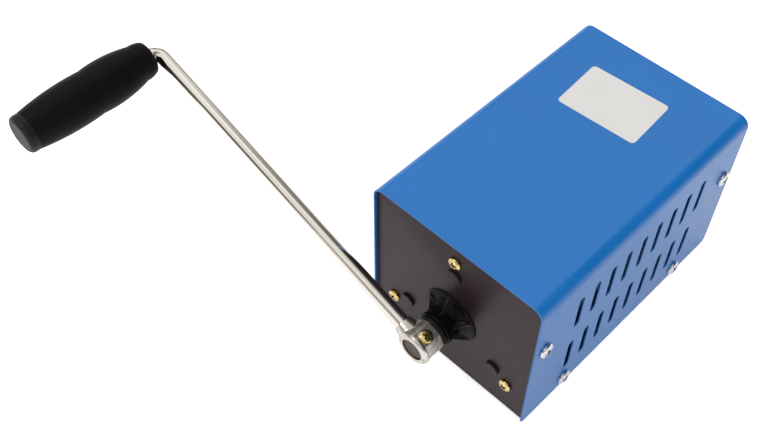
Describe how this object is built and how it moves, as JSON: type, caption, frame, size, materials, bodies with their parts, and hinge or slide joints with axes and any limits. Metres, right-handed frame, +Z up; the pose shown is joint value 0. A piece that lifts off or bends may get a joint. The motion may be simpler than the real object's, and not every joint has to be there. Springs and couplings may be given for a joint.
{
  "type": "hand crank generator",
  "caption": "Hand crank generator in a slotted blue sheet-metal case: a chromed crank with a turning grip drives the rotor through a geared train; sockets and voltmeter at the rear.",
  "frame": {"origin": "middle of the case's underside, which rests on a table", "axes": "+X to the right seen from the crank, -Y towards the crank, +Z up"},
  "size_m": [0.2449, 0.267, 0.1192],
  "materials": {
    "cover": "blue powder coat",
    "chassis": "black powder coat",
    "cover_screws": "bright zinc",
    "flange_nuts": "zinc",
    "brass_screws": "polished",
    "bearing_hub": "black",
    "hub_nut": "plain",
    "shaft_bushes": "sintered bronze",
    "front_gear_plate": "plain",
    "rear_gear_plate": "plain",
    "gear_pins": "black oxide",
    "gearbox_pillars": "turned",
    "gear_plate_screws": "zinc",
    "generator_housing": "turned",
    "end_bell": "cast",
    "tie_bolts": "zinc",
    "stator_core": "lamination stack",
    "stator_winding": "enamelled copper",
    "rotor_bearings": "ground",
    "circuit_board": "green lacquer",
    "board_pillars": "turned",
    "board_screws": "zinc",
    "capacitors": "sleeved can",
    "rectifier": "epoxy",
    "heat_sink": "black anodised",
    "choke": "enamelled copper",
    "voltmeter_bezel": "moulded",
    "voltmeter_lens": "dark red tinted",
    "voltmeter_body": "moulded",
    "potentiometer": "plain",
    "potentiometer_nut": "nickel",
    "socket_red": "moulded",
    "socket_black": "moulded",
    "socket_nuts": "nickel",
    "voltage_knob": "moulded",
    "knob_shaft": "plain",
    "crank_shaft": "turned",
    "thrust_washer": "bronze",
    "gear_steel": "cut and greased",
    "gear_key": "plain",
    "shaft_circlip": "spring steel",
    "crank_boss": "nickel plated casting",
    "clamp_screw": "polished",
    "crank_rod": "chromed",
    "grip_washer": "spring steel",
    "seal_ring": "moulded",
    "grip": "soft matt",
    "grip_cap": "moulded",
    "rotor_shaft": "ground",
    "rotor_core": "turned",
    "rotor_magnet": "ferrite"
  },
  "bodies": {
    "case": {"cover": "cover", "chassis": "chassis", "cover_screws": "cover_screws", "flange_nuts": "flange_nuts", "brass_screws": "brass_screws", "bearing_hub": "bearing_hub", "hub_nut": "hub_nut", "shaft_bushes": "shaft_bushes", "front_gear_plate": "front_gear_plate", "rear_gear_plate": "rear_gear_plate", "gear_pin_top": "gear_pins", "gear_pin_left": "gear_pins", "gear_pin_right": "gear_pins", "gearbox_pillars": "gearbox_pillars", "gear_plate_screws": "gear_plate_screws", "generator_housing": "generator_housing", "end_bell": "end_bell", "tie_bolts": "tie_bolts", "stator_core": "stator_core", "stator_winding": "stator_winding", "rotor_bearings": "rotor_bearings", "circuit_board": "circuit_board", "board_pillars": "board_pillars", "board_screws": "board_screws", "capacitors": "capacitors", "rectifier": "rectifier", "heat_sink": "heat_sink", "choke": "choke", "voltmeter_bezel": "voltmeter_bezel", "voltmeter_lens": "voltmeter_lens", "voltmeter_body": "voltmeter_body", "potentiometer": "potentiometer", "potentiometer_nut": "potentiometer_nut", "output_socket_red": "socket_red", "output_socket_black": "socket_black", "socket_nuts": "socket_nuts"},
    "crank": {"crank_shaft": "crank_shaft", "thrust_washer": "thrust_washer", "input_gear": "gear_steel", "gear_key": "gear_key", "shaft_circlip": "shaft_circlip", "crank_boss": "crank_boss", "clamp_screw": "clamp_screw", "crank_rod": "crank_rod", "grip_washer": "grip_washer", "seal_ring": "seal_ring"},
    "grip": {"grip": "grip", "grip_cap": "grip_cap"},
    "cluster_top": {"cluster_gear_top": "gear_steel"},
    "cluster_left": {"cluster_gear_left": "gear_steel"},
    "cluster_right": {"cluster_gear_right": "gear_steel"},
    "rotor": {"rotor_shaft": "rotor_shaft", "rotor_core": "rotor_core", "rotor_magnet": "rotor_magnet", "rotor_pinion": "gear_steel"},
    "knob": {"voltage_knob": "voltage_knob", "knob_shaft": "knob_shaft"}
  },
  "joints": [
    {"name": "crank_turn", "type": "hinge", "parent": "case", "child": "crank", "pos_m": [0, -0.0903, 0.0415], "axis": [0, 1, 0], "continuous": true},
    {"name": "grip_turn", "type": "hinge", "parent": "crank", "child": "grip", "pos_m": [-0.18042, -0.1403, 0.10717], "axis": [0, 1, 0], "continuous": true},
    {"name": "cluster_top_turn", "type": "hinge", "parent": "case", "child": "cluster_top", "pos_m": [0, -0.0608, 0.0735], "axis": [0, 1, 0], "continuous": true},
    {"name": "cluster_left_turn", "type": "hinge", "parent": "case", "child": "cluster_left", "pos_m": [-0.02771, -0.0608, 0.0255], "axis": [0, 1, 0], "continuous": true},
    {"name": "cluster_right_turn", "type": "hinge", "parent": "case", "child": "cluster_right", "pos_m": [0.02771, -0.0608, 0.0255], "axis": [0, 1, 0], "continuous": true},
    {"name": "rotor_turn", "type": "hinge", "parent": "case", "child": "rotor", "pos_m": [0, -0.028, 0.0415], "axis": [0, 1, 0], "continuous": true},
    {"name": "knob_turn", "type": "hinge", "parent": "case", "child": "knob", "pos_m": [0.022, 0.083, 0.066], "axis": [0, 1, 0], "range_deg": [-135, 135]}
  ],
  "couplings": [
    {"joint": "cluster_top_turn", "follows": "crank_turn", "ratio": -3.9231},
    {"joint": "cluster_left_turn", "follows": "crank_turn", "ratio": -3.9231},
    {"joint": "cluster_right_turn", "follows": "crank_turn", "ratio": -3.9231},
    {"joint": "rotor_turn", "follows": "crank_turn", "ratio": 5.3761}
  ]
}
